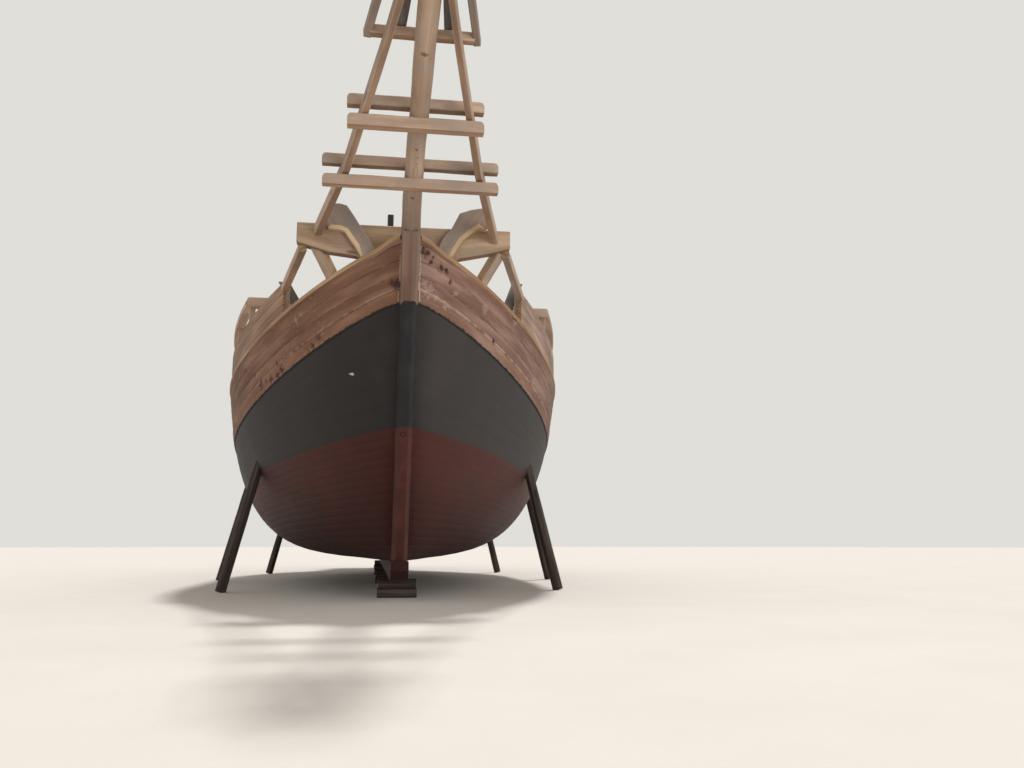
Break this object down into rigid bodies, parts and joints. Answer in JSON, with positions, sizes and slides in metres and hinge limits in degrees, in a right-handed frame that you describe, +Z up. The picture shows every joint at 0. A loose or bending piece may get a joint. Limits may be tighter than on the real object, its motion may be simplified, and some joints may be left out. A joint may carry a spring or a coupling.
{
  "type": "unrigged wooden phinisi schooner standing ashore on keel blocks and shores",
  "caption": "Wooden two-masted trading schooner hull before rigging, ashore on blocks, with bowsprit frame, deckhouse, rudder with tiller and a screw propeller.",
  "frame": {"origin": "centre of the part's footprint box on the ground, under the keel blocks", "axes": "+Z up, bow towards -Y and stern towards +Y, port side towards +X"},
  "size_m": [8.1174, 28.0542, 6.7861],
  "materials": {
    "stained_wood": "bare hardwood planking, stained red-brown, matt",
    "fresh_wood": "freshly planed pale hardwood, matt",
    "weathered_wood": "rough-hewn timber, weathered grey-brown",
    "red_paint": "red antifouling paint on planking, matt",
    "grey_paint": "dark grey paint on planking, low sheen",
    "deck_wood": "sawn deck planks, matt",
    "dark_wood": "old dark timber, rough",
    "bronze": "cast bronze, dull",
    "steel": "dull steel"
  },
  "bodies": {
    "hull": {"keel": "red_paint", "stem_post": "stained_wood", "stern_post": "red_paint", "bottom_planking": "red_paint", "side_planking": "grey_paint", "main_deck": "deck_wood", "bulwark_port": "stained_wood", "bulwark_starboard": "stained_wood", "rail_port": "fresh_wood", "rail_starboard": "fresh_wood", "raised_bulwark_port": "stained_wood", "raised_bulwark_starboard": "stained_wood", "upper_rail_port": "weathered_wood", "upper_rail_starboard": "weathered_wood", "fore_crossbeam": "weathered_wood", "aft_crossbeam": "weathered_wood", "head_beam": "weathered_wood", "horn_knee_port": "weathered_wood", "horn_knee_starboard": "weathered_wood", "beam_strut_port": "weathered_wood", "beam_strut_starboard": "weathered_wood", "head_rail_port": "weathered_wood", "head_rail_starboard": "weathered_wood", "bowsprit": "weathered_wood", "side_spar_port": "weathered_wood", "side_spar_starboard": "weathered_wood", "crossbar_inner_lower": "weathered_wood", "crossbar_inner_upper": "weathered_wood", "crossbar_outer_lower": "weathered_wood", "crossbar_outer_upper": "weathered_wood", "bowsprit_platform": "weathered_wood", "samson_post": "dark_wood", "bowsprit_step": "weathered_wood", "fore_mast_partner": "fresh_wood", "main_mast_partner": "fresh_wood", "hatch_coaming": "stained_wood", "hatch_boards": "fresh_wood", "deckhouse_side_port": "stained_wood", "deckhouse_side_starboard": "stained_wood", "deckhouse_front": "stained_wood", "deckhouse_aft": "stained_wood", "deckhouse_roof": "weathered_wood", "rudder_bearing": "steel", "gallery_frame": "weathered_wood", "gallery_floor": "deck_wood", "gallery_rail": "fresh_wood", "keel_block_1": "dark_wood", "keel_block_2": "dark_wood", "keel_block_3": "dark_wood", "keel_block_4": "dark_wood", "shore_1_port": "dark_wood", "shore_1_starboard": "dark_wood", "shore_2_port": "dark_wood", "shore_2_starboard": "dark_wood", "shore_3_port": "dark_wood", "shore_3_starboard": "dark_wood"},
    "steering": {"rudder": "red_paint", "tiller": "fresh_wood"},
    "screw": {"propeller": "bronze"},
    "door": {"deckhouse_door": "fresh_wood"}
  },
  "joints": [
    {"name": "rudder_hinge", "type": "hinge", "parent": "hull", "child": "steering", "pos_m": [0, 12.8, 0.69], "axis": [0, 0, 1], "range_deg": [-35, 35]},
    {"name": "propeller_spin", "type": "hinge", "parent": "hull", "child": "screw", "pos_m": [0, 12.28, 1.25], "axis": [0, 1, 0], "continuous": true},
    {"name": "door_hinge", "type": "hinge", "parent": "hull", "child": "door", "pos_m": [1.238, 5.384, 3], "axis": [0, 0, 1], "range_deg": [0, 100]}
  ]
}
